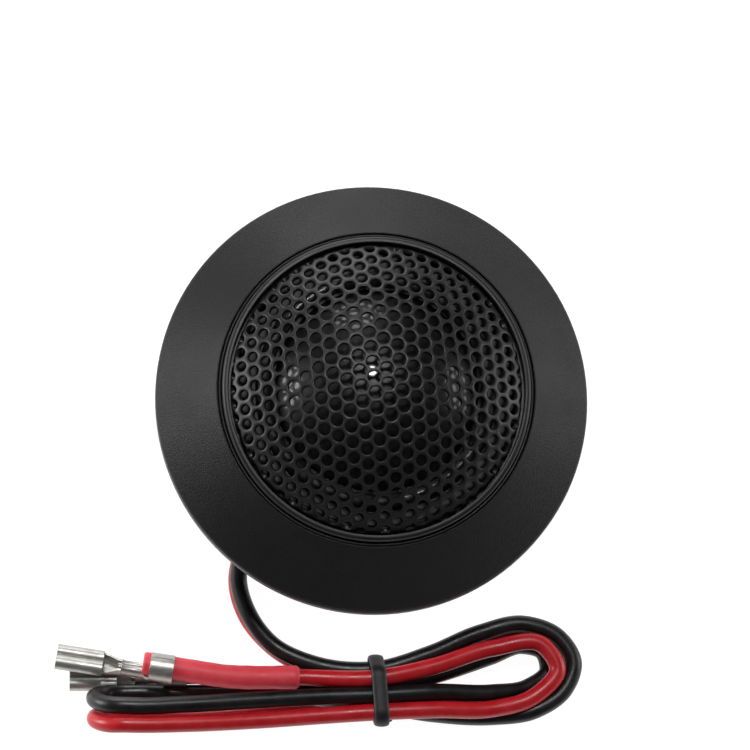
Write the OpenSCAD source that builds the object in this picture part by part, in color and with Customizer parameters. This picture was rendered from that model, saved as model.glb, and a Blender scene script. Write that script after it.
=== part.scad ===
// Flush-mount dome tweeter for a car: trim cup, pressed-in driver capsule, motor, crossover and leads.
// Millimetres. +Z is the listening axis, and z = 0 is the plane of the rear cover.

/* [Mounting cup] */
// Width of the conical trim flange, outside the capsule
flange_w = 7.55; // [6.5:0.05:9.5]
// Height of the upright rim round the flange
rim_h = 1.2; // [0.8:0.1:2]
// Radius that rolls the rim over into the cone
rim_round = 0.9; // [0.5:0.1:1.2]
// Slope of the cone
cone_angle = 41; // [30:1:45]
// Wall of the cup, the cone and the rear can
cup_wall = 1.5; // [1.1:0.1:2]
// Length of the barrel between the flange and the step
barrel_h = 5.5; // [4:0.5:9]
// Diameter of the rear can
can_d = 35; // [34:0.5:38]
// Height of the rear can
can_h = 8.5; // [8.5:0.1:14]
// Reach of the snap wedges beyond the barrel
snap_reach = 0.6; // [0.3:0.1:1]

/* [Rear cover] */
// Thickness of the rear cover
cover_t = 2; // [1.6:0.1:2.2]
// Radius of the screw circle
screw_circle_r = 13.6; // [13:0.1:13.7]
// Diameter of the screw shank
screw_d = 2; // [1.6:0.1:2.4]

/* [Capsule] */
// Outer diameter of the driver capsule
capsule_d = 39.9; // [38.5:0.1:48]
// Radial width of the thin lip round the capsule
lip_w = 0.45; // [0.3:0.05:0.8]
// Depth of the lip below the mouth of the cone
lip_drop = 0.15; // [0:0.05:0.4]
// Thickness of the foam washer behind the capsule
washer_t = 0.8; // [0.5:0.1:1.5]
// Depth of the driver seat below the lip
seat_depth = 2.6; // [2.4:0.1:3]

/* [Grille] */
// Radial width of the grille ring
ring_w = 0.85; // [0.6:0.05:1.2]
// Height of the grille ring above the lip
ring_rise = 1.05; // [0.6:0.05:1.4]
// Spherical radius of the grille mesh
mesh_r = 30; // [28:0.5:40]
// Thickness of the grille sheet
mesh_t = 0.5; // [0.3:0.05:0.7]
// Distance between neighbouring holes
hole_pitch = 1.97; // [1.9:0.01:2.6]
// Diameter of a hole
hole_d = 1.6; // [1:0.05:1.65]
// Turn of the rows of holes round the axis
lattice_turn = 5.7; // [0:0.1:30]

/* [Diaphragm] */
// Inner diameter of the voice coil former
coil_d = 25.1; // [20:0.1:25.4]
// Rise of the dome above its foot
dome_rise = 5.6; // [4:0.1:6.2]
// Thickness of the dome fabric
dome_t = 0.3; // [0.2:0.05:0.5]
// Radial width of the surround's roll
roll_w = 1.7; // [1.2:0.1:1.8]
// Thickness of the ring that carries the surround
carrier_t = 1.3; // [1.2:0.1:1.5]

/* [Motor] */
// Thickness of the top plate
plate_t = 2; // [1.5:0.1:2.4]
// Thickness of the magnet
magnet_t = 3; // [2:0.1:3.2]
// Step from the edge of the top plate in to the magnet
magnet_inset = 0.9; // [0.6:0.1:2]
// Outer diameter of the yoke cup
yoke_d = 31; // [30.4:0.1:31.4]
// Height of the winding
winding_h = 2.4; // [1.6:0.1:3]

/* [Crossover and leads] */
// Diameter of the capacitor
cap_d = 6.8; // [5:0.1:7.4]
// Length of the capacitor
cap_l = 13; // [10:0.5:14]
// Outer diameter of each wire
wire_d = 2.2; // [2:0.1:2.2]
// Outer diameter of the marker sleeve on the red wire
sleeve_d = 3; // [2.7:0.1:3.2]
// Thickness of the tie's band
tie_t = 0.8; // [0.6:0.1:0.8]
// Width of the tie's band
tie_w = 1.9; // [1.4:0.1:2.6]

/* [Hidden] */

$fn = 96;
fit = 0.05;           // slip fit between pieces that are put together by hand
eps = 0.01;

// radii
capsule_r = capsule_d / 2;
flange_r = capsule_r + flange_w;
bore_r = capsule_r + fit;
barrel_r = bore_r + cup_wall;
mouth_r = bore_r + 0.15;
can_r = can_d / 2;
can_in = can_r - cup_wall;
cover_r = can_in + 0.6;
ring_r = capsule_r - lip_w;
ring_in = ring_r - ring_w;
mesh_edge_r = ring_in - 0.3;
former_in = coil_d / 2;
former_out = former_in + 0.15;
coil_out = former_out + 0.35;
pole_r = former_in - 0.45;
gap_r = coil_out + 0.5;
foot_r = former_out + 0.2;
roll_in = foot_r + 0.5;
roll_out = roll_in + roll_w;
carrier_in = coil_out + 0.85;
carrier_out = ring_in - 1.1;
yoke_r = yoke_d / 2;

// heights
floor_z = can_h + cup_wall;
flange_z = can_h + barrel_h;
edge_z = flange_z + rim_h + rim_round * cos(cone_angle);
edge_r = flange_r - rim_round * (1 - sin(cone_angle));
mouth_z = edge_z + (edge_r - mouth_r) * tan(cone_angle);
shell_z = floor_z + washer_t;
lip_z = mouth_z - lip_drop;
seat_z = lip_z - seat_depth;
border_z = lip_z - 1;
carrier_z = seat_z + carrier_t;
plate_z = seat_z - plate_t;
magnet_z = plate_z - magnet_t;
yoke_z = magnet_z - 2.25;
winding_z = plate_z + plate_t / 2 - winding_h / 2;
foot_z = carrier_z + 0.45;
ring_top = lip_z + ring_rise;
mesh_c = ring_top - 0.1 - sqrt(mesh_r * mesh_r - pow(mesh_edge_r - 0.28, 2));
lattice_shift = [-0.86, 0.27];   // from the axis to the nearest hole

// solder tabs and lead-outs, by their angle round the axis
plus_angle = 45;
minus_angle = 261;
tab_w = 2;
tab_t = 0.4;
tab_r = (yoke_r + capsule_r) / 2 - 0.7;
tab_z = yoke_z - 0.8;
tab_in = 11;
lead_d = 0.3;
lead_slot_w = 1.2;

// rear cover and its screws
screw_angles = [48, 168, 288];
boss_r = screw_d / 2 + 1.1;
head_r = screw_d / 2 + 0.9;
sink = 1.2;
screw_l = can_h - 2.3;

// capacitor
cap_y = 4.5;
cap_z = cover_t + 0.4 + cap_d / 2;
cap_lead_d = 0.6;
splice = [-9.5, 1.6, 5.9];

// where the two wires leave, one above the other
exit_angle = 228;
red_exit_z = 4;
black_exit_z = 6.3;
wire_r = wire_d / 2;
grommet_wall = 0.65;

// route of the black wire, from its solder tab to its terminal
black_route = [
  [-1.4, -10.8, 10.0], [-4.5, -8.4, 8.6], [-8.0, -8.9, 6.7], [-9.4, -10.4, 6.3], [-13.7, -15.2, 6.3],
  [-15.5, -17.9, 5.1], [-16.2, -21.5, 3.6], [-15.0, -25.8, 3.3], [-11.9, -29.9, 3.3],
  [-6.5, -32.5, 3.7], [1.7, -33.1, 3.9], [8.5, -31.0, 3.7], [15.0, -28.2, 3.5], [20.6, -27.0, 3.4],
  [25.0, -28.6, 3.3], [27.0, -31.9, 3.3], [25.8, -35.4, 3.3], [22.0, -38.1, 3.2],
  [16.5, -38.9, 2.4], [9.0, -38.7, 3.1], [1.7, -37.7, 3.8], [-5.0, -36.9, 3.4], [-11.0, -36.1, 2.7],
  [-18.0, -36.1, 1.4], [-24.5, -36.1, 1.1], [-30.6, -36.1, 1.1], [-32.9, -36.3, 1.8],
  [-34.3, -36.9, 3.6], [-34.3, -37.7, 5.9], [-32.9, -38.4, 7.7], [-30.4, -38.6, 8.3],
  [-23.0, -38.3, 7.8], [-13.0, -37.5, 6.8], [-5.0, -36.9, 6.0],
  [1.7, -36.6, 5.7], [9.0, -36.1, 5.1], [16.5, -35.9, 3.4], [21.2, -35.0, 2.1], [23.9, -32.7, 1.3],
  [23.3, -30.3, 1.1], [20.6, -29.5, 1.1], [16.5, -31.0, 1.4], [9.0, -33.7, 2.8], [1.7, -35.5, 3.8],
  [-6.0, -34.8, 2.6], [-14.0, -33.9, 1.4], [-24.6, -33.9, 1.4]
];
// route of the red wire, from the capacitor to its terminal
red_route = [
  [-9.5, 1.0, 5.9], [-8.6, -4.5, 4.7], [-8.0, -8.9, 4.1], [-9.4, -10.4, 4.0], [-13.7, -15.2, 4.0],
  [-15.6, -18.0, 2.7], [-16.3, -21.6, 1.3], [-15.1, -25.9, 1.1], [-11.8, -29.9, 1.1],
  [-6.5, -32.9, 1.2], [1.7, -34.3, 1.9], [8.5, -31.8, 1.4], [15.0, -28.8, 1.2], [20.6, -27.2, 1.1],
  [25.0, -28.6, 1.1], [26.8, -31.9, 1.1], [25.5, -35.2, 1.1], [21.5, -37.2, 1.1],
  [16.5, -37.1, 1.1], [9.0, -36.9, 1.4], [1.7, -36.6, 1.9], [-6.0, -37.2, 1.3], [-14.0, -38.2, 1.1],
  [-23.0, -38.8, 1.1], [-30.6, -38.7, 1.1], [-32.8, -38.9, 1.8], [-34.2, -39.5, 3.5],
  [-34.2, -40.2, 5.5], [-32.8, -40.8, 7.2], [-30.4, -40.9, 7.9], [-23.0, -40.7, 7.4],
  [-13.0, -40.0, 6.3], [-5.0, -39.3, 5.8], [1.7, -38.8, 5.7],
  [9.0, -38.4, 5.4], [16.5, -38.1, 4.5], [21.7, -36.5, 4.4], [24.8, -32.9, 4.4], [22.8, -29.8, 4.4],
  [16.5, -30.3, 4.4], [8.5, -32.9, 5.2], [1.7, -34.4, 5.7], [-8.5, -34.4, 5.1],
  [-17.0, -34.4, 5.1], [-26.8, -33.0, 4.9]
];
// the wires as they lie side by side where the tie holds them, [y, z]
tie_x = 1.7;
tie_bundle = [[-33.1, 3.9], [-34.3, 1.9], [-36.6, 1.9], [-37.7, 3.8], [-38.8, 5.7], [-34.4, 5.7]];

// crimp terminals: the middle of the receptacle's front edge, the end of the insulation crimp, the roll
red_front = [-39.4, -32.2, 2.9];
red_back = [-24.6, -34.3, 3.5];
red_roll = -35;
black_front = [-37.6, -34.1, 0];
black_back = [-22.7, -34.0, 0];
metal_t = 0.35;
receptacle_w = 3.7;
receptacle_l = 6;
receptacle_h = 2.1;
roll_r = 0.95;
neck_w = 1.5;
wire_crimp_l = 3;
sleeve_crimp_l = 3;

// ---------- shared shapes ----------

// a straight round rod between two points
module rod(a, b, r) {
  v = b - a;
  along = norm(v);
  translate(a)
    rotate([0, acos(v[2] / along), atan2(v[1], v[0])])
      cylinder(h = along, r = r);
}

// a ring with square edges
module ring(r_out, r_in, z, h) {
  translate([0, 0, z])
    difference() {
      cylinder(r = r_out, h = h);
      translate([0, 0, -1]) cylinder(r = r_in, h = h + 2);
    }
}

// points of an arc, centre c, from angle a to angle b
function arc(c, r, a, b, n = 8) =
  [for (i = [0:n]) c + r * [cos(a + (b - a) * i / n), sin(a + (b - a) * i / n)]];

// an upright slot with round ends, drawn from the axis outwards along +X
module upright_slot(x0, x1, r) {
  for (z = [red_exit_z, black_exit_z])
    translate([x0, 0, z]) rotate([0, 90, 0]) cylinder(r = r, h = x1 - x0);
  translate([x0, -r, red_exit_z]) cube([x1 - x0, 2 * r, black_exit_z - red_exit_z]);
}

// tube along a route: one ring of points at each route point, square to the way through it,
// with the first ring's sideways direction carried along so that the tube never twists
function unit(v) = v / norm(v);
function way(p, i) = unit(
  (i == 0 ? [0, 0, 0] : unit(p[i] - p[i - 1])) +
  (i == len(p) - 1 ? [0, 0, 0] : unit(p[i + 1] - p[i])));
function level(v, t) = unit(v - (v * t) * t);
function carried(p, v, i = 0) =
  i == len(p) ? [] : let (next = level(v, way(p, i))) concat([next], carried(p, next, i + 1));
module tube(p, r, sides = 8) {
  last = len(p) - 1;
  across = carried(p, cross([0, 0, 1], way(p, 0)));
  points = [
    for (i = [0:last])
      let (up = cross(way(p, i), across[i]))
        for (k = [0:sides - 1])
          let (a = 360 * (k + 0.5) / sides)
            p[i] + r * (cos(a) * across[i] + sin(a) * up)
  ];
  walls = [
    for (i = [0:last - 1], k = [0:sides - 1])
      [i * sides + k, (i + 1) * sides + k, (i + 1) * sides + (k + 1) % sides, i * sides + (k + 1) % sides]
  ];
  ends = [
    [for (k = [0:sides - 1]) k],
    [for (k = [sides - 1:-1:0]) last * sides + k]
  ];
  polyhedron(points, concat(walls, ends));
}

// ---------- cup and rear cover ----------

// outside of the cup, from the axis out
module cup_outline() {
  polygon(concat(
    [[0, 0], [can_r, 0], [can_r, can_h], [barrel_r, can_h], [barrel_r, flange_z], [flange_r, flange_z]],
    arc([flange_r - rim_round, flange_z + rim_h], rim_round, 0, 90 - cone_angle, 6),
    [[mouth_r, mouth_z], [0, mouth_z]]
  ));
}

// the hollow under the cone, one wall below its face
module cone_hollow() {
  rim_in = flange_r - cup_wall;
  hub_r = barrel_r + 0.6;
  low = flange_z + rim_h * 0.4;
  drop = cup_wall / cos(cone_angle);
  top = mouth_z + (mouth_r - hub_r) * tan(cone_angle) - drop;
  polygon([[hub_r, flange_z - 1], [rim_in, flange_z - 1], [rim_in, low],
           [hub_r, max(top, low + 0.5)]]);
}

module mounting_cup() {
  color("#26272a") {
    difference() {
      union() {
        rotate_extrude()
          difference() {
            cup_outline();
            cone_hollow();
          }
        for (a = [0:60:300])
          rotate([0, 0, a + 15])
            rotate([90, 0, 0])
              translate([0, 0, -0.6])
                linear_extrude(1.2)
                  polygon([[barrel_r - 0.5, flange_z + 0.6], [flange_r - 1, flange_z + 0.6],
                           [flange_r - 1, flange_z + 1], [barrel_r - 0.5, mouth_z - 2.5]]);
      }
      translate([0, 0, -1]) cylinder(r = cover_r + fit, h = cover_t + 1);
      translate([0, 0, cover_t - eps]) cylinder(r = can_in, h = floor_z - cover_t + 2 * eps);
      translate([0, 0, floor_z]) cylinder(r = bore_r, h = mouth_z);
      rotate([0, 0, exit_angle]) upright_slot(can_in - 2, can_r + 1, wire_r + grommet_wall + fit);
    }
    for (a = screw_angles)
      rotate([0, 0, a]) screw_boss();
    for (a = [30, 150, 270])
      rotate([0, 0, a])
        rotate([90, 0, 0])
          translate([0, 0, -2])
            linear_extrude(4)
              polygon([[barrel_r - 0.3, can_h + 0.5], [barrel_r, can_h + 0.5],
                       [barrel_r + snap_reach, can_h + 2.6], [barrel_r - 0.3, can_h + 2.9]]);
  }
}

module screw_boss() {
  difference() {
    union() {
      translate([screw_circle_r, 0, cover_t]) cylinder(r = boss_r, h = can_h - cover_t);
      translate([screw_circle_r, -0.6, cover_t])
        cube([can_in + 0.3 - screw_circle_r, 1.2, can_h - cover_t]);
    }
    translate([screw_circle_r, 0, cover_t - 1]) cylinder(r = screw_d / 2 + 0.02, h = screw_l + 0.6);
  }
}

module rear_cover() {
  color("#1f2022")
    difference() {
      union() {
        cylinder(r = cover_r, h = cover_t);
        for (x = [-1, 1])
          translate([x * cap_l * 0.3 - 0.6, cap_y - cap_d * 0.4, cover_t - eps])
            cube([1.2, cap_d * 0.8, cap_z - cap_d * 0.3 - cover_t]);
      }
      for (a = screw_angles)
        rotate([0, 0, a]) translate([screw_circle_r, 0, -1]) {
          cylinder(r = screw_d / 2 + 0.2, h = cover_t + 2);
          cylinder(r = head_r + 0.15, h = sink + 1);
        }
      translate([-cap_l / 2 - 1, cap_y, cap_z])
        rotate([0, 90, 0]) cylinder(r = cap_d / 2, h = cap_l + 2);
    }
}

module cover_screws() {
  color("#8f9296")
    for (a = screw_angles)
      rotate([0, 0, a]) translate([screw_circle_r, 0, 0]) {
        difference() {
          translate([0, 0, 0.15]) cylinder(r = head_r, h = sink - 0.15);
          for (turn = [0, 90])
            rotate([0, 0, turn]) translate([-screw_d * 0.45, -0.2, 0]) cube([screw_d * 0.9, 0.4, 0.6]);
        }
        translate([0, 0, sink - eps]) cylinder(r = screw_d / 2, h = screw_l);
      }
}

module wire_grommet() {
  neck = wire_r + grommet_wall;
  collar_in = sqrt(pow(can_in, 2) - pow(neck + 0.2, 2)) - 0.05;
  color("#17181a")
    rotate([0, 0, exit_angle])
      difference() {
        union() {
          upright_slot(collar_in - 0.8, can_r + 2.2, neck);
          upright_slot(collar_in - 0.8, collar_in, neck + 0.2);
          upright_slot(can_r, can_r + 0.7, neck + 0.2);
        }
        for (z = [red_exit_z, black_exit_z])
          translate([collar_in - 2, 0, z]) rotate([0, 90, 0]) cylinder(r = wire_r, h = 8);
      }
}

// ---------- capsule ----------

module tab_slot(angle) {
  rotate([0, 0, angle]) {
    translate([tab_r - fit, -tab_w / 2 - fit, shell_z - 1])
      cube([tab_t + 2 * fit, tab_w + 2 * fit, seat_z - shell_z + 2]);
    translate([yoke_r - 1, -tab_w / 2 - fit, shell_z - 1])
      cube([tab_r - yoke_r + 1 + tab_t + fit, tab_w + 2 * fit, tab_z + tab_t + fit - shell_z + 1]);
  }
}

module capsule_shell() {
  color("#202124")
    difference() {
      rotate_extrude()
        polygon(concat(
          [[yoke_r + fit, shell_z], [capsule_r, shell_z], [capsule_r, lip_z - 0.2]],
          arc([capsule_r - 0.2, lip_z - 0.2], 0.2, 0, 90, 4),
          arc([ring_r + 0.2, lip_z - 0.2], 0.2, 90, 180, 4),
          [[ring_r, border_z], [carrier_out + 0.6, border_z], [carrier_out + fit, border_z - 0.3],
           [carrier_out + fit, seat_z], [yoke_r + fit, seat_z]]
        ));
      tab_slot(plus_angle);
      tab_slot(minus_angle);
    }
}

module foam_washer() {
  color("#3a3a3d") ring(bore_r - 0.3, can_in + 0.9, floor_z, washer_t);
}

module grille_ring() {
  color("#1b1c1e")
    rotate_extrude()
      polygon(concat(
        [[ring_in, border_z + mesh_t], [ring_r - fit, border_z + mesh_t]],
        arc([ring_r - fit - 0.5, ring_top - 0.5], 0.5, 0, 90, 8),
        arc([ring_in + 0.12, ring_top - 0.12], 0.12, 90, 180, 4)
      ));
}

// body that a spherical top closes: a round plug of the grille's inside or outside
module grille_plug(r, sphere_r, low) {
  intersection() {
    translate([0, 0, mesh_c]) sphere(r = sphere_r);
    translate([0, 0, low]) cylinder(r = r, h = mesh_r);
  }
}

// perforated dome with a straight skirt and a flat border under the grille ring; the holes keep
// their distance along the curved sheet
module grille_mesh() {
  row_step = hole_pitch * sin(60);
  rows = ceil(mesh_edge_r / row_step) + 2;
  cols = ceil(mesh_edge_r / hole_pitch) + 2;
  reach = asin((mesh_edge_r - hole_d / 2 - 0.45) / mesh_r);
  color("#2a2b2e")
    difference() {
      union() {
        grille_plug(mesh_edge_r, mesh_r, border_z);
        translate([0, 0, border_z]) cylinder(r = ring_r - fit, h = mesh_t);
      }
      grille_plug(mesh_edge_r - mesh_t, mesh_r - mesh_t, border_z - 1);
      for (row = [-rows:rows], col = [-cols:cols])
        let (along = row * row_step, across = (col + (row % 2 == 0 ? 0 : 0.5)) * hole_pitch,
             x = along * cos(lattice_turn) - across * sin(lattice_turn) + lattice_shift[0],
             y = along * sin(lattice_turn) + across * cos(lattice_turn) + lattice_shift[1],
             tilt = norm([x, y]) / mesh_r * 180 / PI)
          if (tilt < reach)
            translate([0, 0, mesh_c])
              rotate([0, tilt, atan2(y, x)])
                translate([0, 0, mesh_r - mesh_t - 1]) cylinder(d = hole_d, h = mesh_t + 2);
    }
}

// ---------- moving parts and their carrier ----------

module diaphragm_carrier() {
  color("#33353a")
    difference() {
      ring(carrier_out, carrier_in, seat_z, carrier_t);
      for (a = [plus_angle, minus_angle])
        rotate([0, 0, a])
          translate([carrier_in - 1, -lead_slot_w / 2, seat_z - 1])
            cube([tab_r + tab_t + 1.3 - carrier_in, lead_slot_w, 1.7]);
    }
}

// half roll between the glued outer lip and the dome's foot
module surround() {
  t = 0.25;
  mid = (roll_in + roll_out) / 2;
  roll_z = foot_z + t;
  inner = foot_r + 0.02;
  color("#1c1c1e")
    rotate_extrude()
      polygon(concat(
        [[carrier_out - 0.4, carrier_z], [carrier_out - 0.4, carrier_z + t]],
        [[mid + roll_w / 2 + t / 2, carrier_z + t]],
        arc([mid, roll_z], roll_w / 2 + t / 2, 0, 180, 12),
        [[inner, roll_z], [inner, foot_z], [mid - roll_w / 2 + t / 2, foot_z]],
        arc([mid, roll_z], roll_w / 2 - t / 2, 180, 0, 12),
        [[mid + roll_w / 2 - t / 2, carrier_z]]
      ));
}

// spherical cap of the dome, with its foot cut flat
module cap_of(r, centre_z) {
  intersection() {
    translate([0, 0, centre_z]) sphere(r = r);
    translate([0, 0, foot_z]) cylinder(r = foot_r + 1, h = dome_rise + 1);
  }
}

module dome() {
  r = (foot_r * foot_r + dome_rise * dome_rise) / (2 * dome_rise);
  centre_z = foot_z + dome_rise - r;
  color("#141416")
    difference() {
      cap_of(r, centre_z);
      cap_of(r - dome_t, centre_z);
    }
}

module coil_former() {
  color("#b98d52") ring(former_out, former_in, winding_z - 0.1, foot_z - winding_z + 0.1);
}

module voice_coil() {
  color("#a8562b") ring(coil_out, former_out, winding_z, winding_h);
}

// fine lead from a solder tab to the winding
module lead_out(angle) {
  low = [tab_r + tab_t / 2, 0, seat_z + 0.25];
  elbow = [carrier_in + 0.1, 0, seat_z + 0.25];
  high = [former_out + 0.12, 0, seat_z + 0.75];
  color("#c07a45")
    rotate([0, 0, angle]) {
      rod(low, elbow, lead_d / 2);
      translate(elbow) sphere(d = lead_d * 1.15);
      rod(elbow, high, lead_d / 2);
    }
}

// ---------- motor ----------

module damping_pad() {
  color("#6f6a62") translate([0, 0, seat_z]) cylinder(r = pole_r - 2, h = 1);
}

module pole_piece() {
  color("#9a9ca0") translate([0, 0, plate_z]) cylinder(r = pole_r, h = plate_t);
}

module magnet() {
  color("#b9bcc2") translate([0, 0, magnet_z]) cylinder(r = pole_r - magnet_inset, h = magnet_t);
}

module yoke_cup() {
  color("#8a8d92")
    difference() {
      translate([0, 0, yoke_z]) cylinder(r = yoke_r, h = seat_z - yoke_z);
      translate([0, 0, magnet_z]) cylinder(r = gap_r, h = seat_z);
    }
}

// ---------- solder tabs and capacitor ----------

// brass strip: up through the shell to the lead-out, and in under the yoke to the wire
module solder_tab(angle) {
  color("#c9a24a")
    rotate([0, 0, angle]) {
      translate([tab_r, -tab_w / 2, tab_z]) cube([tab_t, tab_w, seat_z - tab_z]);
      translate([tab_in, -tab_w / 2, tab_z]) cube([tab_r + tab_t - tab_in, tab_w, tab_t]);
      translate([tab_r + tab_t / 2, 0, seat_z - eps]) cylinder(r = 0.35, h = 0.1 + eps);
    }
}

module capacitor() {
  end_x = cap_l / 2;
  turn = end_x + 2;
  foot = [turn, tab_in * sin(plus_angle) + 0.8, tab_z - cap_lead_d / 2];
  color("#2f3f6b") {
    translate([-end_x, cap_y, cap_z]) rotate([0, 90, 0]) cylinder(d = cap_d, h = cap_l);
    rod([end_x - 0.5, cap_y, cap_z], [turn, cap_y, cap_z], cap_lead_d / 2);
    translate([turn, cap_y, cap_z]) sphere(d = cap_lead_d);
    rod([turn, cap_y, cap_z], foot, cap_lead_d / 2);
    rod([0.5 - end_x, cap_y, cap_z], [splice[0], cap_y, cap_z], cap_lead_d / 2);
    translate([splice[0], cap_y, cap_z]) sphere(d = cap_lead_d);
    rod([splice[0], cap_y, cap_z], splice, cap_lead_d / 2);
  }
}

// ---------- wires and what is on them ----------

module red_wire() {
  color("#c4202c") tube(red_route, wire_r);
}

module black_wire() {
  color("#161618") tube(black_route, wire_r);
}

// marker sleeve over the end of the red wire
module red_sleeve() {
  n = len(red_route);
  a = red_route[n - 3];
  b = red_route[n - 2];
  c = b + (red_route[n - 1] - b) * 0.92;
  over = 0.5;
  color("#d6454f")
    difference() {
      tube([a, b, c], sleeve_d / 2, 12);
      tube([a + over * unit(a - b), b, c + over * unit(c - b)], wire_r + fit, 12);
    }
}

// band drawn tight round the bundle, with its two short ends lying on the surface
module wire_tie() {
  color("#101012") {
    translate([tie_x - tie_w / 2, 0, 0])
      rotate([90, 0, 90])
        linear_extrude(tie_w)
          difference() {
            hull() for (p = tie_bundle) translate(p) circle(r = wire_r + tie_t, $fn = 32);
            hull() for (p = tie_bundle) translate(p) circle(r = wire_r, $fn = 32);
          }
    translate([tie_x - tie_w - 0.4, tie_bundle[0][0] - 1.6, 0]) cube([tie_w, 1.6, tie_t]);
    translate([tie_x + 0.4, tie_bundle[4][0] - 0.6, 0]) cube([tie_w, 1.6, tie_t]);
  }
}

// crimp receptacle drawn along +X from its front edge, its base on z = 0; the last crimp holds radius hold_r
module terminal(l, hold_r) {
  barrel_z = hold_r + metal_t;
  crimp_x = l - sleeve_crimp_l;
  wire_crimp_x = crimp_x - wire_crimp_l - 0.6;
  centre = receptacle_w / 2 - roll_r;
  translate([0, -receptacle_w / 2 + roll_r * 0.7, 0])
    cube([receptacle_l, receptacle_w - roll_r * 1.4, metal_t]);
  for (s = [-1, 1])
    translate([0, s * centre, roll_r])
      rotate([0, 90, 0])
        difference() {
          cylinder(r = roll_r, h = receptacle_l);
          translate([0, 0, -1]) cylinder(r = roll_r - metal_t, h = receptacle_l + 2);
          translate([-roll_r * 0.55, s > 0 ? -roll_r : 0, -1])
            cube([roll_r * 0.9, roll_r, receptacle_l + 2]);
        }
  translate([receptacle_l - eps, -neck_w / 2, 0]) cube([l - receptacle_l, neck_w, metal_t]);
  translate([wire_crimp_x, 0, metal_t + 0.75])
    rotate([0, 90, 0]) cylinder(r = 0.85, h = wire_crimp_l);
  translate([wire_crimp_x, -0.6, 0]) cube([wire_crimp_l, 1.2, 0.6]);
  difference() {
    union() {
      translate([crimp_x, 0, barrel_z])
        rotate([0, 90, 0]) cylinder(r = barrel_z, h = sleeve_crimp_l);
      translate([crimp_x, -neck_w / 2, 0]) cube([sleeve_crimp_l, neck_w, 0.6]);
    }
    translate([crimp_x - 1, 0, barrel_z])
      rotate([0, 90, 0]) cylinder(r = hold_r, h = sleeve_crimp_l + 2);
  }
}

// lays a terminal between two points, turned about its own length
module laid_terminal(front, back, roll, hold_r) {
  v = back - front;
  translate(front)
    rotate([0, -asin(v[2] / norm(v)), atan2(v[1], v[0])])
      rotate([roll, 0, 0])
        terminal(norm(v), hold_r);
}

module red_terminal() {
  color("#c9ccd0") laid_terminal(red_front, red_back, red_roll, sleeve_d / 2);
}

module black_terminal() {
  color("#c9ccd0") laid_terminal(black_front, black_back, 0, wire_r);
}

mounting_cup();
rear_cover();
cover_screws();
wire_grommet();
capsule_shell();
foam_washer();
grille_ring();
grille_mesh();
diaphragm_carrier();
surround();
dome();
coil_former();
voice_coil();
lead_out(plus_angle);  // lead_out_plus
lead_out(minus_angle);  // lead_out_minus
damping_pad();
pole_piece();
magnet();
yoke_cup();
solder_tab(plus_angle);  // tab_plus
solder_tab(minus_angle);  // tab_minus
capacitor();
red_wire();
black_wire();
red_sleeve();
wire_tie();
red_terminal();
black_terminal();
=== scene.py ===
import math

import bmesh
import bpy
from mathutils import Matrix, Vector
from mathutils.geometry import interpolate_bezier


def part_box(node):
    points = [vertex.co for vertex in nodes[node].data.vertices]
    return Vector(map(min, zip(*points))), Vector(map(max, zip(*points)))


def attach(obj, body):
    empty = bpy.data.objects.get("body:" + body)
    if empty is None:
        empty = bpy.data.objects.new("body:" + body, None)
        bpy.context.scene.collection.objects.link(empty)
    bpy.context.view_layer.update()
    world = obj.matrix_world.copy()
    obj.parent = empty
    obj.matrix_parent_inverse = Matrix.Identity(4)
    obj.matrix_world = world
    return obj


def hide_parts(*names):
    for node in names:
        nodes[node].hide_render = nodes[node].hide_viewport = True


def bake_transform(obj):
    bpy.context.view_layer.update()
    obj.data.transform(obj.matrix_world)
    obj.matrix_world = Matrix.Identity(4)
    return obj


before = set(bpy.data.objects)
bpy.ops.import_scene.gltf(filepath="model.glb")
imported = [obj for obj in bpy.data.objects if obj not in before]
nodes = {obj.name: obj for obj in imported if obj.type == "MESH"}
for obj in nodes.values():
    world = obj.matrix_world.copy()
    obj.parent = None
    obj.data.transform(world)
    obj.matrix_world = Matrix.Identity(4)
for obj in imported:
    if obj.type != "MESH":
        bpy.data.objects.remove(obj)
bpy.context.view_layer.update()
print("frame loaded with", len(nodes), "nodes")

camera = {  # metres and degrees
    "focus": (0, 0, 0.0147),  # middle of the flange
    "distance": 0.6,
    "tilt": 11.4,  # off the listening axis
    "heading": (0.42, 0.906),
    "lens": 226.8,
    "aside": 0.00041,  # aim, right of and above the focus
    "above": 0.0031,
    "clip": (0.01, 20),
}


def makeCamera(spec):
    focus = Vector(spec["focus"])
    tilt = math.radians(spec["tilt"])
    heading = Vector(spec["heading"]).normalized() * math.sin(tilt)
    forward = Vector((heading.x, heading.y, -math.cos(tilt)))
    up = (Vector((0, 1, 0)) - forward * forward.y).normalized()
    right = forward.cross(up)
    place = focus - forward * spec["distance"]
    aim = focus + right * spec["aside"] + up * spec["above"]
    back = (place - aim).normalized()
    right = up.cross(back).normalized()
    turn = Matrix((right, back.cross(right), back)).transposed()
    data = bpy.data.cameras.new("camera")
    data.lens = spec["lens"]
    data.clip_start, data.clip_end = spec["clip"]
    cam = bpy.data.objects.new("camera", data)
    bpy.context.scene.collection.objects.link(cam)
    cam.matrix_world = Matrix.Translation(place) @ turn.to_4x4()
    bpy.context.scene.camera = cam


makeCamera(camera)
print("camera placed")


class Socket:  # a node's output that can stand in a sum or a product
    def __init__(self, shader, out):
        self.shader, self.out = shader, out

    def maths(self, operation, *values):
        return self.shader.node("Math", {"operation": operation}, dict(enumerate(values)))

    def __add__(self, other):
        return self.maths("ADD", self, other)

    def __radd__(self, other):
        return self.maths("ADD", other, self)

    def __mul__(self, other):
        return self.maths("MULTIPLY", self, other)

    def __rmul__(self, other):
        return self.maths("MULTIPLY", other, self)

    def sine(self):
        return self.maths("SINE", self)


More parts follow.
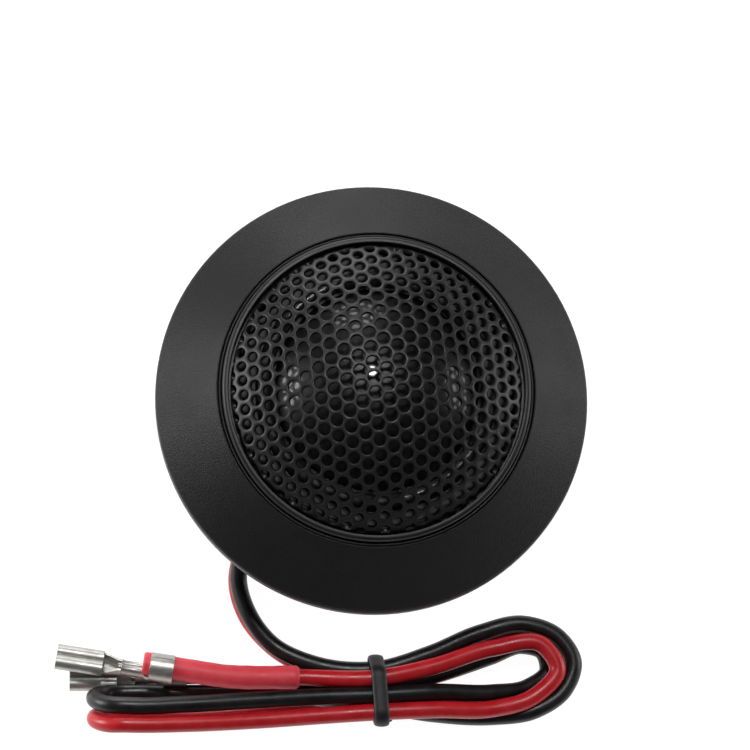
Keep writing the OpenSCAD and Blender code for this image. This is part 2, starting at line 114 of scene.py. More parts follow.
class Shader:
    def __init__(self, name, colour, **uniform):
        self.material = bpy.data.materials.new(name)
        self.material.use_nodes = True
        self.tree = self.material.node_tree
        self.surface = self.tree.nodes["Principled BSDF"]
        self.colour = (*colour, 1)
        self.surface.inputs["Base Color"].default_value = self.colour
        for socket, value in uniform.items():
            self.surface.inputs[socket.replace("_", " ")].default_value = value

    def node(self, kind, settings=None, sockets=None, out=0):
        made = self.tree.nodes.new("ShaderNode" + kind)
        for name, value in (settings or {}).items():
            setattr(made, name, value)
        for socket, value in (sockets or {}).items():
            if isinstance(value, Socket):
                self.tree.links.new(value.out, made.inputs[socket])
            else:
                made.inputs[socket].default_value = value
        return Socket(self, made.outputs[out])

    def feed(self, socket, value):
        self.tree.links.new(value.out, self.surface.inputs[socket])

    def place(self):
        return self.node("TexCoord", out="Object")

    def stretched(self, scale):
        return self.node("Mapping", {}, {"Vector": self.place(), "Scale": scale})

    def speckle(self, size, detail, roughness=0.5, place=None):
        return self.node("TexNoise", {}, {"Vector": place or self.place(), "Scale": 1 / size,
                                          "Detail": detail, "Roughness": roughness})

    def tint(self, amount, other):
        shades = {0: amount, 6: self.colour, 7: (*other, 1)}
        self.feed("Base Color", self.node("Mix", {"data_type": "RGBA"}, shades, out=2))

    def bump(self, height, depth, soften=0):
        sockets = {"Height": height, "Distance": depth}
        if soften:  # rounds the edges a little
            sockets["Normal"] = self.node("Bevel", {"samples": 6}, {"Radius": soften})
        self.feed("Normal", self.node("Bump", {}, sockets))


def spread(value, low, high, newLow, newHigh):
    return value.shader.node("MapRange", {}, {0: value, 1: low, 2: high, 3: newLow, 4: newHigh})


def mouldedPlastic(name, colour, roughness, grain, depth, light=None, shine=0.5, soften=0.00012):
    s = Shader(name, colour, Specular_IOR_Level=shine)
    fine = s.speckle(grain, 3, 0.6)
    cloudy = s.speckle(grain * 40, 3)
    s.tint(spread(fine, 0.35, 0.7, 0, 1), light or [c * 1.5 + 0.004 for c in colour])
    s.feed("Roughness", spread(cloudy, 0.3, 0.7, roughness - 0.05, roughness + 0.05))
    s.bump(fine, depth, soften)
    return s.material


def softPvc(name, colour, light, roughness):
    s = Shader(name, colour)
    flow = s.speckle(0.0016, 3)
    dust = s.speckle(0.00012, 2, 0.6)
    s.tint(spread(flow, 0.35, 0.75, 0, 1), light)
    s.feed("Roughness", spread(flow, 0.3, 0.7, roughness - 0.06, roughness + 0.08))
    s.bump(dust + flow * 2, 0.000008)
    return s.material


def metal(name, colour, roughness, stretch=(1, 1, 1), size=0.0004, tarnish=None, metallic=1.0):
    s = Shader(name, colour, Metallic=metallic)
    lines = s.speckle(size, 3, 0.6, s.stretched(stretch))
    cloud = s.speckle(0.0015, 4)
    s.tint(spread(cloud, 0.35, 0.75, 0, 1), tarnish or [c * 0.75 for c in colour])
    s.feed("Roughness", spread(lines, 0.3, 0.7, roughness - 0.08, roughness + 0.1))
    s.bump(lines, 0.000006, 0.00008)
    return s.material


def cloth(name, colour, light, roughness, thread, depth, coat):
    s = Shader(name, colour, Coat_Weight=coat, Coat_Roughness=0.09)
    place = s.node("SeparateXYZ", {}, {0: s.place()})
    across = Socket(s, place.out.node.outputs[0])
    along = Socket(s, place.out.node.outputs[1])
    turn = 2 * math.pi / thread
    weave = (across * turn).sine() * (along * turn).sine()
    fuzz = s.speckle(thread * 2, 3)
    s.tint(spread(weave, -1, 1, 0, 1), light)
    s.feed("Roughness", spread(fuzz, 0.3, 0.7, roughness - 0.05, roughness + 0.08))
    s.bump(weave * 0.5 + fuzz * 0.5, depth)
    return s.material


finish = {  # grain, thread, size and depth in metres
    "cup": mouldedPlastic("cupPlastic", (0.0026, 0.0027, 0.0029), light=(0.0055, 0.0058, 0.0062),
                          roughness=0.42, grain=0.00018, depth=0.00006, shine=0.27),
    "cover": mouldedPlastic("coverPlastic", (0.014, 0.014, 0.015),
                            roughness=0.5, grain=0.0003, depth=0.00004),
    "shell": mouldedPlastic("shellPlastic", (0.005, 0.005, 0.0055),
                            roughness=0.42, grain=0.0002, depth=0.00001, shine=0.3),
    "carrier": mouldedPlastic("carrierPlastic", (0.01, 0.01, 0.011),
                              roughness=0.55, grain=0.0003, depth=0.00002, shine=0.3),
    "ring": mouldedPlastic("ringEnamel", (0.007, 0.007, 0.0075),
                           roughness=0.38, grain=0.00012, depth=0.000006, shine=0.35),
    "grille": mouldedPlastic("grilleCoat", (0.009, 0.009, 0.0095),
                             roughness=0.4, grain=0.00012, depth=0.00001, shine=0.4, soften=0),
    "grommet": mouldedPlastic("grommetRubber", (0.02, 0.02, 0.021),
                              roughness=0.6, grain=0.0004, depth=0.00002),
    "foam": mouldedPlastic("foam", (0.05, 0.05, 0.052), roughness=0.9, grain=0.0005, depth=0.0002),
    "felt": mouldedPlastic("felt", (0.16, 0.15, 0.13), roughness=0.95, grain=0.0004, depth=0.0002),
    "dome": cloth("domeCloth", (0.003, 0.003, 0.0035), light=(0.006, 0.006, 0.007),
                  roughness=0.34, thread=0.0003, depth=0.000012, coat=0.5),
    "surround": cloth("surroundCloth", (0.005, 0.005, 0.006), light=(0.01, 0.01, 0.011),
                      roughness=0.45, thread=0.00035, depth=0.00003, coat=0.2),
    "steel": metal("zincSteel", (0.62, 0.63, 0.64), roughness=0.3, stretch=(1, 1, 6)),
    "magnet": metal("nickel", (0.68, 0.66, 0.62), roughness=0.2),
    "brass": metal("brass", (0.72, 0.52, 0.22), roughness=0.28),
    "copper": metal("copper", (0.72, 0.3, 0.13), roughness=0.3, stretch=(1, 1, 12), size=0.0003),
    "former": metal("former", (0.74, 0.58, 0.36), roughness=0.35, stretch=(1, 1, 6)),
    "tin": metal("tin", (0.5, 0.495, 0.47), tarnish=(0.4, 0.395, 0.37),
                 roughness=0.4, stretch=(0.25, 1, 1), size=0.0003, metallic=0.85),
    "capacitor": softPvc("capacitorSleeve", (0.01, 0.03, 0.14), light=(0.02, 0.05, 0.2),
                         roughness=0.3),
    "redWire": softPvc("redPvc", (0.52, 0.009, 0.016), light=(0.6, 0.016, 0.024), roughness=0.34),
    "blackWire": softPvc("blackPvc", (0.004, 0.0042, 0.005), light=(0.008, 0.0085, 0.0095),
                         roughness=0.36),
    "sleeve": softPvc("sleevePvc", (0.78, 0.045, 0.07), light=(0.84, 0.07, 0.095), roughness=0.5),
    "tie": softPvc("tieRubber", (0.006, 0.006, 0.006), light=(0.011, 0.011, 0.011), roughness=0.5),
}

finishOf = {
    "mounting_cup": "cup", "rear_cover": "cover", "cover_screws": "steel",
    "wire_grommet": "grommet", "capsule_shell": "shell", "foam_washer": "foam",
    "grille_ring": "ring", "grille_mesh": "grille", "diaphragm_carrier": "carrier",
    "surround": "surround", "dome": "dome", "coil_former": "former", "voice_coil": "copper",
    "lead_out_plus": "copper", "lead_out_minus": "copper", "damping_pad": "felt",
    "pole_piece": "steel", "magnet": "magnet", "yoke_cup": "steel", "tab_plus": "brass",
    "tab_minus": "brass", "capacitor": "capacitor", "red_terminal": "tin",
    "black_terminal": "tin", "red_wire": "redWire", "black_wire": "blackWire",
    "red_sleeve": "sleeve", "wire_tie": "tie",
}
for name, finishName in finishOf.items():
    mesh = nodes[name].data
    mesh.materials.clear()
    mesh.materials.append(finish[finishName])
print("materials made:", len(finish))

wire = {  # metres and degrees
    "diameter": 0.0022, "exitRadius": 0.0197, "exitAngle": 228,
    "endHandle": 0.001, "roundness": 6, "steps": 14,
}
# both leads from the can to their terminals, in millimetres
blackRoute = [
    (-1.4, -10.8, 10.0), (-4.5, -8.4, 8.6), (-8.0, -8.9, 6.7), (-9.4, -10.4, 6.3),
    (-13.7, -15.2, 6.3), (-15.5, -17.9, 5.1), (-16.2, -21.5, 3.6), (-15.0, -25.8, 3.3),
    (-11.9, -29.9, 3.3), (-6.5, -32.5, 3.7), (1.7, -33.1, 3.9), (8.5, -31.0, 3.7),
    (15.0, -28.2, 3.5), (20.6, -27.0, 3.4), (25.0, -28.6, 3.3), (27.0, -31.9, 3.3),
    (25.8, -35.4, 3.3), (22.0, -38.1, 3.2), (16.5, -38.9, 2.4), (9.0, -38.7, 3.1),
    (1.7, -37.7, 3.8), (-5.0, -36.9, 3.4), (-11.0, -36.1, 2.7), (-18.0, -36.1, 1.4),
    (-24.5, -36.1, 1.1), (-30.6, -36.1, 1.1), (-32.9, -36.3, 1.8), (-34.3, -36.9, 3.6),
    (-34.3, -37.7, 5.9), (-32.9, -38.4, 7.7), (-30.4, -38.6, 8.3), (-23.0, -38.3, 7.8),
    (-13.0, -37.5, 6.8), (-5.0, -36.9, 6.0), (1.7, -36.6, 5.7), (9.0, -36.1, 5.1),
    (16.5, -35.9, 3.4), (21.2, -35.0, 2.1), (23.9, -32.7, 1.3), (23.3, -30.3, 1.1),
    (20.6, -29.5, 1.1), (16.5, -31.0, 1.4), (9.0, -33.7, 2.8), (1.7, -35.5, 3.8),
    (-6.0, -34.8, 2.6), (-14.0, -33.9, 1.4), (-24.6, -33.9, 1.4),
]
redRoute = [
    (-9.5, 1.0, 5.9), (-8.6, -4.5, 4.7), (-8.0, -8.9, 4.1), (-9.4, -10.4, 4.0),
    (-13.7, -15.2, 4.0), (-15.6, -18.0, 2.7), (-16.3, -21.6, 1.3), (-15.1, -25.9, 1.1),
    (-11.8, -29.9, 1.1), (-6.5, -32.9, 1.2), (1.7, -34.3, 1.9), (8.5, -31.8, 1.4),
    (15.0, -28.8, 1.2), (20.6, -27.2, 1.1), (25.0, -28.6, 1.1), (26.8, -31.9, 1.1),
    (25.5, -35.2, 1.1), (21.5, -37.2, 1.1), (16.5, -37.1, 1.1), (9.0, -36.9, 1.4),
    (1.7, -36.6, 1.9), (-6.0, -37.2, 1.3), (-14.0, -38.2, 1.1), (-23.0, -38.8, 1.1),
    (-30.6, -38.7, 1.1), (-32.8, -38.9, 1.8), (-34.2, -39.5, 3.5), (-34.2, -40.2, 5.5),
    (-32.8, -40.8, 7.2), (-30.4, -40.9, 7.9), (-23.0, -40.7, 7.4), (-13.0, -40.0, 6.3),
    (-5.0, -39.3, 5.8), (1.7, -38.8, 5.7), (9.0, -38.4, 5.4), (16.5, -38.1, 4.5),
    (21.7, -36.5, 4.4), (24.8, -32.9, 4.4), (22.8, -29.8, 4.4), (16.5, -30.3, 4.4),
    (8.5, -32.9, 5.2), (1.7, -34.4, 5.7), (-8.5, -34.4, 5.1), (-17.0, -34.4, 5.1),
    (-26.8, -33.0, 4.9),
]


def slopes(points):  # direction at each point, from the chords before and after it
    chords = [b - a for a, b in zip(points, points[1:])]
    found = []
    for i in range(len(points)):
        before, after = chords[max(i - 1, 0)], chords[min(i, len(chords) - 1)]
        weight = before.length + after.length
        way = before.normalized() * (after.length / weight)
        way += after.normalized() * (before.length / weight)
        if before.z * after.z <= 0:  # level at the top and foot of each rise
            way.z = 0
        found.append(way)
    return found


def makeCord(name, route, finishName):
    points = [Vector(p) / 1000 for p in route]
    ways = slopes(points)
    data = bpy.data.curves.new(name, "CURVE")
    data.dimensions = "3D"
    data.bevel_depth = wire["diameter"] / 2
    data.bevel_resolution = wire["roundness"]
    data.resolution_u = wire["steps"]
    data.use_fill_caps = True
    line = data.splines.new("BEZIER")
    line.bezier_points.add(len(points) - 1)
    for i, (knot, p, way) in enumerate(zip(line.bezier_points, points, ways)):
        before = (p - points[i - 1]).length if i else wire["endHandle"]
        after = (points[i + 1] - p).length if i < len(points) - 1 else wire["endHandle"]
        knot.handle_left_type = knot.handle_right_type = "FREE"
        knot.co, knot.handle_left, knot.handle_right = p, p - way * before / 3, p + way * after / 3
    data.materials.append(finish[finishName])
    made = bpy.data.objects.new(name, data)
    bpy.context.scene.collection.objects.link(made)
    return made


def smoothPath(route, first, steps):  # the same curve as points, from one knot to the end
    points = [Vector(p) for p in route]
    ways = slopes(points)
    path = []
    for i in range(first, len(points) - 1):
        reach = (points[i + 1] - points[i]).length / 3
        path += interpolate_bezier(points[i], points[i] + ways[i] * reach,
                                   points[i + 1] - ways[i + 1] * reach, points[i + 1], steps)[:-1]
    return path + [points[-1]]


redCord = makeCord("redLead", redRoute, "redWire")
blackCord = makeCord("blackLead", blackRoute, "blackWire")
for made, node, slot in ((redCord, "red_wire", "red_pvc"), (blackCord, "black_wire", "black_pvc")):
    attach(made, "tweeter")
    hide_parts(node)
print("wires laid")

sharpEdge = math.radians(38)  # the pieces from here on are drawn in millimetres


def makePiece(name, parts, finishName, node, place=None, cut=None, body="tweeter"):
    points, faces = [], []
    for partPoints, partFaces in parts:
        start = len(points)
        points += [Vector(p) for p in partPoints]
        faces += [[k + start for k in face] for face in partFaces]
    mesh = bpy.data.meshes.new(name)
    mesh.from_pydata([(place @ p if place else p) / 1000 for p in points], [], faces)
    bm = bmesh.new()
    bm.from_mesh(mesh)
    bmesh.ops.remove_doubles(bm, verts=bm.verts, dist=1e-6)
    if cut is not None:  # takes away what hangs below this height
        everything = bm.verts[:] + bm.edges[:] + bm.faces[:]
        bmesh.ops.bisect_plane(bm, geom=everything, plane_co=(0, 0, cut / 1000),
                               plane_no=(0, 0, 1), clear_inner=True)
    bmesh.ops.recalc_face_normals(bm, faces=bm.faces)
    bm.to_mesh(mesh)
    bm.free()
    mesh.materials.append(finish[finishName])
    mesh.shade_smooth()
    mesh.set_sharp_from_angle(angle=sharpEdge)
    made = bpy.data.objects.new(name, mesh)
    bpy.context.scene.collection.objects.link(made)
    if body:
        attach(made, body)
    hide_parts(node)
    return made


def stitch(rows, count, closed, sections):  # quads between neighbouring sections
    faces = []
    for i in range(sections if closed else sections - 1):
        for k in range(count):
            after, side = (i + 1) % sections * count, (k + 1) % count
            faces.append((i * count + k, i * count + side, after + side, after + k))
    return rows, faces


def lathe(profile, steps=160):
    rows = []
    for i in range(steps):
        turn = 2 * math.pi * i / steps
        rows += [(r * math.cos(turn), r * math.sin(turn), z) for r, z in profile]
    return stitch(rows, len(profile), True, steps)


def sweep(path, radii, sides):
    rows, across = [], None
    for i, (p, radius) in enumerate(zip(path, radii)):
        way = (path[min(i + 1, len(path) - 1)] - path[max(i - 1, 0)]).normalized()
        across = way.orthogonal() if across is None else across - way * across.dot(way)
        across.normalize()
        up = way.cross(across)
        for k in range(sides):
            turn = 2 * math.pi * k / sides
            rows.append(p + (across * math.cos(turn) + up * math.sin(turn)) * radius)
    rows, faces = stitch(rows, sides, False, len(path))
    return rows, faces + [tuple(range(sides)), tuple(range(len(rows) - sides, len(rows)))]


def sheetRun(stations, thick):  # a bent sheet, lofted through (x, [(y, z), ...]) sections
    rows, count = [], len(stations[0][1])
    for x, line in stations:
        line = [Vector(p) for p in line]
        outer, inner = [], []
        for k, p in enumerate(line):
            way = line[min(k + 1, count - 1)] - line[max(k - 1, 0)]
            side = Vector((-way.y, way.x)).normalized() * thick / 2
            outer.append(p + side)
            inner.append(p - side)
        rows += [(x, p.x, p.y) for p in outer + inner[::-1]]
    rows, faces = stitch(rows, count * 2, False, len(stations))
    for start in (0, len(rows) - count * 2):  # closes both ends
        end = start + count * 2 - 1
        for k in range(count - 1):
            faces.append((start + k, start + k + 1, end - 1 - k, end - k))
    return rows, faces


def arcOf(centre, r, a, b, steps):
    turns = [math.radians(a + (b - a) * i / steps) for i in range(steps + 1)]
    return [(centre[0] + r * math.cos(t), centre[1] + r * math.sin(t)) for t in turns]


grille = {
    "pitch": 1.97, "hole": 1.62, "edgeHole": 1.34, "turn": 5.7, "shift": (-0.86, 0.27),
    "sphere": 30, "edge": 18.35, "shoulder": 0.8, "thickness": 0.5, "rim": 0.11,
    "sides": 24,  # of each hole
    "beyond": 0.55,  # cells drawn past the border, in pitches
    "lap": 0.05,  # of the sheet into its foot
}


def makeGrille(spec):
    low, high = [Vector(corner) * 1000 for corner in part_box("grille_mesh")]
    thick, sphere, shoulder = spec["thickness"], spec["sphere"], spec["shoulder"]
    bend = math.asin((spec["edge"] - shoulder) / (sphere - shoulder))  # where the skirt starts
    bendStart, bendEnd = sphere * bend, sphere * bend + shoulder * (math.pi / 2 - bend)
    bendR = (sphere - shoulder) * math.sin(bend)
    bendZ = high.z - sphere + (sphere - shoulder) * math.cos(bend)
    border = low.z + thick

    def onSheet(x, y, depth):  # a flat point laid on the domed sheet
        along, turn = math.hypot(x, y), math.atan2(y, x)
        if along < bendStart:
            tilt = along / sphere
            r = (sphere - depth) * math.sin(tilt)
            z = high.z - sphere + (sphere - depth) * math.cos(tilt)
        elif along < bendEnd:
            tilt = bend + (along - bendStart) / shoulder
            r = bendR + (shoulder - depth) * math.sin(tilt)
            z = bendZ + (shoulder - depth) * math.cos(tilt)
        else:
            r, z = spec["edge"] - depth, bendZ - (along - bendEnd)
        return (r * math.cos(turn), r * math.sin(turn), z)

    pitch, rim, sides = spec["pitch"], spec["rim"], spec["sides"]
    turn = math.radians(spec["turn"])

    def cell(x, y):  # one hole and the hexagon of sheet round it
        far = min(math.hypot(x, y) / bendStart, 1)
        hole = (spec["hole"] + (spec["edgeHole"] - spec["hole"]) * far ** 2) / 2
        rings = ((None, 0), (hole + rim, 0), (hole + rim * 0.3, rim * 0.3),
                 (hole, rim), (hole, thick), (None, thick))  # None is the hexagon
        points, faces = [], []
        for ring, depth in rings:
            for k in range(sides):
                angle = 360 // sides * k
                hexagon = pitch / 2 / math.cos(math.radians(angle % 60 - 30))
                radius, way = ring or hexagon, math.radians(angle) + turn
                across, up = x + radius * math.cos(way), y + radius * math.sin(way)
                points.append(onSheet(across, up, depth))
        for start in range(0, len(points) - sides, sides):
            for k in range(sides):
                a, b = start + k, start + (k + 1) % sides
                faces.append((a, b, b + sides, a + sides))
        return points, faces

    reach = bendEnd + bendZ - border + pitch * spec["beyond"]
    span = math.ceil(reach / pitch) + 3
    cells = []
    for row in range(-span, span + 1):
        for col in range(-span, span + 1):
            a, b = row * pitch * math.sin(math.pi / 3), (col + 0.5 * (row % 2)) * pitch
            x = a * math.cos(turn) - b * math.sin(turn) + spec["shift"][0]
            y = a * math.sin(turn) + b * math.cos(turn) + spec["shift"][1]
            if math.hypot(x, y) <= reach:
                cells.append(cell(x, y))
    inner = spec["edge"] - thick
    foot = lathe([(inner, low.z), (high.x, low.z), (high.x, border), (inner, border)])
    makePiece("grilleSheet", cells, "grille", "grille_mesh", cut=border - spec["lap"])
    makePiece("grilleFoot", [foot], "grille", "grille_mesh")
    print("grille made with", len(cells), "holes")


makeGrille(grille)

diaphragm = {"thickness": 0.3, "rollWidth": 1.7, "rollGap": 0.5, "sheet": 0.25, "glueGap": 0.02}


def makeDome(spec):
    low, high = [Vector(corner) * 1000 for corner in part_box("dome")]
    rise, foot = high.z - low.z, high.x
    radius = (foot * foot + rise * rise) / (2 * rise)
    centre = high.z - radius

    def cap(r, steps=48):
        limit = math.acos((low.z - centre) / r)
        turns = [limit * i / steps for i in range(steps + 1)]
        return [(r * math.sin(t), centre + r * math.cos(t)) for t in turns]

    profile = cap(radius) + cap(radius - spec["thickness"])[::-1]
    makePiece("softDome", [lathe(profile)], "dome", "dome", body="moving_coil")
    return foot, low.z


def makeSurround(spec, foot, footZ):
    low, high = [Vector(corner) * 1000 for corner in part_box("surround")]
    sheet, width, edge = spec["sheet"], spec["rollWidth"], foot + spec["glueGap"]
    middle, rollZ = foot + spec["rollGap"] + width / 2, footZ + sheet
    outer, inner = (width + sheet) / 2, (width - sheet) / 2
    profile = [(high.x, low.z), (high.x, low.z + sheet), (middle + outer, low.z + sheet)]
    profile += arcOf((middle, rollZ), outer, 0, 180, 24) + [(edge, rollZ), (edge, footZ)]
    profile += arcOf((middle, rollZ), inner, 180, 0, 24) + [(middle + inner, low.z)]
    made = makePiece("softSurround", [lathe(profile)], "surround", "surround",
                     body=None)
    rollZ / 1000
    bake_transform(made)


makeSurround(diaphragm, *makeDome(diaphragm))
print("dome and surround made")

sleeve = {
    "radius": 1.5, "bore": 1.12, "lip": 0.3, "endWall": 0.35, "beyond": 1.6,
    "first": 42, "steps": 24,  # knot of the red route where it starts
    "waves": ((0.02, 0.43, 0), (0.012, 1.1, 1)),  # height, rate and start
}


def makeSleeve(spec):
    path = smoothPath(redRoute, spec["first"], spec["steps"])
    onward = (path[-1] - path[-2]).normalized()
    path += [path[-1] + onward * spec["beyond"] * i / 8 for i in range(1, 9)]
    radii, endWall = [], spec["endWall"]
    for i, p in enumerate(path):
        near = min((p - path[0]).length, (p - path[-1]).length)
        swell = math.sqrt(max(0, 1 - (1 - min(near / spec["lip"], 1)) ** 2))
        wave = sum(height * math.sin(i * rate + start) for height, rate, start in spec["waves"])
        wall = (spec["radius"] - spec["bore"]) * (endWall + (1 - endWall) * swell)
        radii.append(spec["bore"] + wall + wave * swell)
    return makePiece("redMarkerSleeve", [sweep(path, radii, 32)], "sleeve", "red_sleeve")


tie = {
    "x": 1.7, "width": 1.95, "thick": 0.8, "lean": -0.075, "wireRadius": 1.1,
    "bundle": ((-33.1, 3.9), (-34.3, 1.9), (-36.6, 1.9), (-37.7, 3.8), (-38.8, 5.7), (-34.4, 5.7)),
    "steps": 120, "sides": 20,
    "lift": 0.01,  # least height over the floor
    "tails": ((0.8, -33.3, -1.05, 0.7), (2.0, -38.4, 0.95, -0.5)),  # start and direction
    "tailHeight": 0.5, "tailReach": 1.9, "tailRadius": 0.45,
}


def outlineOf(points):  # convex outline, counterclockwise
    points = sorted(points)
    halves = []
    for run in (points, points[::-1]):
        half = []
        for p in run:
            while len(half) > 1 and ((half[-1][0] - half[-2][0]) * (p[1] - half[-2][1])
                                     - (half[-1][1] - half[-2][1]) * (p[0] - half[-2][0])) <= 0:
                half.pop()
            half.append(p)
        halves += half[:-1]
    return [Vector(p) for p in halves]


def evenly(loop, count):
    lengths = [(b - a).length for a, b in zip(loop, loop[1:] + loop[:1])]
    step, walked, k, even = sum(lengths) / count, 0, 0, []
    for i in range(count):
        while walked + lengths[k] < i * step:
            walked += lengths[k]
            k += 1
        even.append(loop[k].lerp(loop[(k + 1) % len(loop)], (i * step - walked) / lengths[k]))
    return even


def squared(part, power, size):  # makes the band's round section a little squarer
    return math.copysign(abs(part) ** power, part) * size / 2


def makeTie(spec):
    reach = spec["wireRadius"] + spec["thick"] / 2
    turns = [a / 20 * math.pi for a in range(40)]
    circles = [(y + reach * math.cos(t), z + reach * math.sin(t))
               for y, z in spec["bundle"] for t in turns]
    loop = evenly(outlineOf(circles), spec["steps"])
    middle = sum(p.x for p in loop) / len(loop)
    rows, sides = [], spec["sides"]
    for i, p in enumerate(loop):
        way = loop[(i + 1) % len(loop)] - loop[i - 1]
        out = Vector((way.y, -way.x)).normalized()
        x = spec["x"] + (p.x - middle) * spec["lean"]
        for k in range(sides):
            turn = 2 * math.pi * k / sides
            wide = squared(math.cos(turn), 0.9, spec["width"])
            at = p + out * squared(math.sin(turn), 0.95, spec["thick"])
            rows.append((x + wide, at.x, max(at.y, spec["lift"])))
    band = stitch(rows, sides, True, len(loop))
    tails = []
    for x, y, wayX, wayY in spec["tails"]:
        start, way = Vector((x, y, spec["tailHeight"])), Vector((wayX, wayY, 0.0))
        path = [start + way * spec["tailReach"] * i / 8 for i in range(9)]
        radii = [spec["tailRadius"] * math.sqrt(max(0.02, 1 - (i / 8) ** 6)) for i in range(9)]
        tails.append(sweep(path, radii, 16))
    return makePiece("bundleTie", [band] + tails, "tie", "wire_tie")


sleevePiece = makeSleeve(sleeve)
tiePiece = makeTie(tie)
print("sleeve and tie made")

terminal = {
    "sheet": 0.32, "width": 3.7, "rollRadius": 0.95, "rollEnd": 216, "rollLength": 6, "fold": 0.12,
    "crimp": 3, "gap": 0.6, "lap": 0.2, "chamfer": 0.1, "lip": 0.25,
    "flare": (0.35, 1.1),  # length and growth at both ends of the crimp on the strands
    # distance, then half width and wall of one side and of the other
    "neckFront": ((-0.4, 0.9, 0.1, 1.56, 0.9), (0.7, 0.85, 0.35, 1.2, 0.95)),
    "neckBack": ((-0.6, 0.62, 0.75, 0.75, 0.95), (0.2, 0.58, 0.85, 0.62, 0.95)),
    "link": ((0.6, 0.5), (0.75, 0.5)),
    # half the section of the rolled wings: floor, wall with its foot and top, then the lobe
    "wing": {"floor": ((0.25, 0.16), (0.5, 0.18), (0.68, 0.28)), "wall": (0.76, 0.5, 0.8),
             "lobe": (0.4, 1.02), "lobeRadius": 0.34, "lobeEnd": 205},
    "strand": {"radius": 0.19, "ring": 0.4, "height": 0.8, "flat": 0.8, "stray": 0.1,
               "before": 0.45, "short": 0.5, "into": 0.3},
    "red": {"front": (-39.4, -32.4, 2.9), "back": (-24.6, -34.6, 3.4), "roll": -35, "hold": 1.5},
    "black": {"front": (-37.6, -34.1, 0), "back": (-22.7, -34.0, 0), "roll": 0, "hold": 1.1},
}


def mirrored(half):  # a section given from its middle outwards
    return [(-y, z) for y, z in half[:0:-1]] + half


def channel(spec, half, wall, farHalf=None, farWall=None):  # an open section with two walls
    low, fold = spec["sheet"] / 2, spec["fold"]

    def side(half, wall):
        base = [(half * k / 3, low) for k in range(4)]
        turns = (0.5, 1.1, 1.57)
        corner = [(half + fold * math.sin(a), low + fold * (1 - math.cos(a))) for a in turns]
        return base + corner + [(half + fold, low + fold + wall * k / 3) for k in (1, 2, 3)]

    near, far = side(half, wall), side(farHalf or half, farWall or wall)
    return [(-y, z) for y, z in near[:0:-1]] + far


def pinched(wing, sheet, grow):  # both wings rolled into the strands
    wall, foot, top = wing["wall"]
    y, z = wing["lobe"]
    lobe = arcOf((y * grow, z * grow), wing["lobeRadius"] * grow, 0, wing["lobeEnd"], 10)
    side = [(0, sheet / 2), *wing["floor"], (wall * grow, foot), (wall * grow, top)]
    return mirrored(side + lobe)


def makeStrands(spec, wireX, holdX):
    strands = []
    for k in range(7):  # six round one
        ring = spec["ring"] if k < 6 else 0
        y, z = ring * math.cos(k * math.pi / 3), ring * math.sin(k * math.pi / 3)
        height = spec["height"] + z * spec["flat"]
        path = [Vector((x, y * (1 + spec["stray"] * math.sin(k + x)), height))
                for x in (wireX - spec["before"], wireX, holdX - spec["short"], holdX + spec["into"])]
        strands.append(sweep(path, [spec["radius"]] * 4, 10))
    return strands


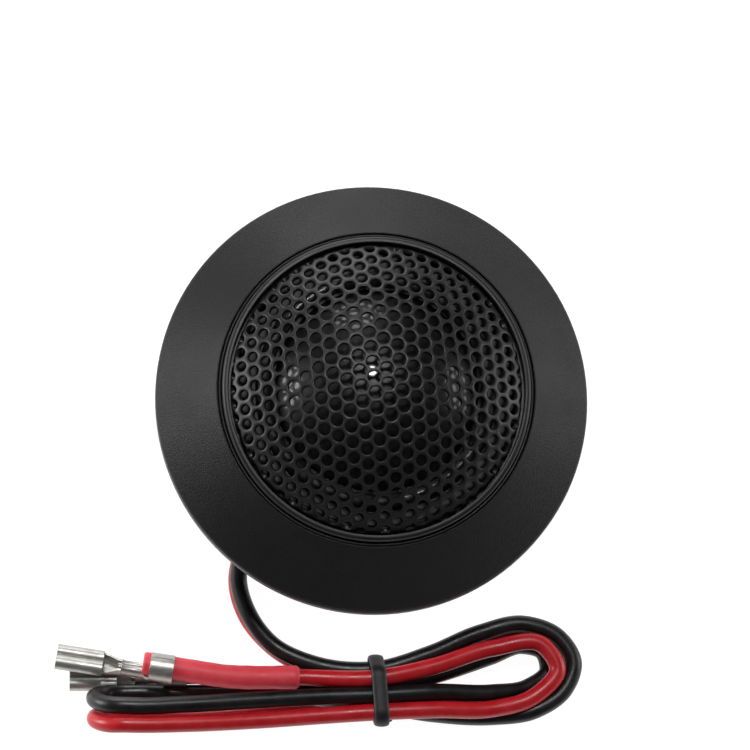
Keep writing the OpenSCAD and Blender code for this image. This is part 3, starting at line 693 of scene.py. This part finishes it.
def makeTerminal(name, spec, lay, node):
    front, back = Vector(lay["front"]), Vector(lay["back"])
    way, sheet, rollEnd = back - front, spec["sheet"], spec["rollLength"]
    length = way.length
    heading = Matrix.Rotation(math.atan2(way.y, way.x), 4, "Z")
    slope = Matrix.Rotation(-math.asin(way.z / length), 4, "Y")
    roll = Matrix.Rotation(math.radians(lay["roll"]), 4, "X")
    place = Matrix.Translation(front) @ (heading @ slope) @ roll
    holdX = length - spec["crimp"]  # start of the crimp on the insulation
    wireX = holdX - spec["crimp"] - spec["gap"]  # start and end of the crimp on the strands
    wireEnd = holdX - spec["gap"]

    rollR, chamfer, lip, (flare, grow) = spec["rollRadius"], spec["chamfer"], spec["lip"], spec["flare"]
    centre = spec["width"] / 2 - rollR
    half = [(centre * k / 3, sheet / 2) for k in range(3)]
    half += arcOf((centre, rollR), rollR - sheet / 2, -90, spec["rollEnd"], 26)
    receptacle = [(x, mirrored(half)) for x in (0, chamfer, rollEnd - chamfer, rollEnd)]
    neck = [(rollEnd + x, channel(spec, *sizes)) for x, *sizes in spec["neckFront"]]
    neck += [(wireX + x, channel(spec, *sizes)) for x, *sizes in spec["neckBack"]]
    flared, plain = pinched(spec["wing"], sheet, grow), pinched(spec["wing"], sheet, 1)
    pinch = [(wireX, flared), (wireX + flare, plain), (wireEnd - flare, plain), (wireEnd, flared)]
    link = [(x, channel(spec, *sizes)) for x, sizes in
            zip((wireEnd - spec["lap"], holdX + spec["lap"]), spec["link"])]
    hold = lay["hold"] + sheet / 2
    ring = mirrored([(0, sheet / 2)] + arcOf((0, hold + sheet / 2), hold, -82, 89, 24))
    wrap = [(x, ring) for x in (holdX, holdX + lip, length - lip, length)]
    parts = [sheetRun(run, sheet) for run in (receptacle, neck, pinch, link, wrap)]
    parts += makeStrands(spec["strand"], wireX, holdX)
    return makePiece(name, parts, "tin", node, place)


redTerminal = makeTerminal("redReceptacle", terminal, terminal["red"], "red_terminal")
blackTerminal = makeTerminal("blackReceptacle", terminal, terminal["black"], "black_terminal")
print("terminals made")

studio = {  # metres
    "floorSize": 3, "floorDrop": 0.00002, "floorGrey": 0.3, "floorGlow": 0.97, "world": 0.08,
    "aim": (0, 0, 0.015),
    "lights": {  # place, size and power
        "left": ((-1.0, 0.2, 0.26), 0.55, 7),
        "back": ((-0.15, 1.0, 0.28), 0.55, 4.2),
        "right": ((1.0, 0.2, 0.26), 0.55, 3.2),
        "front": ((-0.02, 0.3, 0.85), 0.14, 3),
    },
}


def makeFloor(spec):
    size, grey = spec["floorSize"], spec["floorGrey"]
    corners = [(-size, -size, 0), (size, -size, 0), (size, size, 0), (-size, size, 0)]
    mesh = bpy.data.meshes.new("floor")
    mesh.from_pydata(corners, [], [(0, 1, 2, 3)])
    floor = bpy.data.objects.new("floor", mesh)
    floor.location.z = -spec["floorDrop"]
    bpy.context.scene.collection.objects.link(floor)
    s = Shader("floorPaint", (grey, grey, grey), Roughness=0.9, Specular_IOR_Level=0.1,
               Emission_Color=(1, 1, 1, 1), Emission_Strength=spec["floorGlow"])
    mesh.materials.append(s.material)


def softLight(name, place, aim, size, power):
    data = bpy.data.lights.new(name, "AREA")
    data.shape, data.size, data.energy = "DISK", size, power
    lamp = bpy.data.objects.new(name, data)
    bpy.context.scene.collection.objects.link(lamp)
    lamp.location = place
    lamp.rotation_euler = (Vector(aim) - Vector(place)).to_track_quat("-Z", "Y").to_euler()


makeFloor(studio)
for name, (place, size, power) in studio["lights"].items():
    softLight(name, place, studio["aim"], size, power)
world = bpy.data.worlds.new("studio")
world.use_nodes = True
backdrop = world.node_tree.nodes["Background"].inputs
backdrop["Color"].default_value = (1, 1, 1, 1)
backdrop["Strength"].default_value = studio["world"]
bpy.context.scene.world = world
bpy.context.scene.view_settings.view_transform = "Standard"
print("floor and light placed")
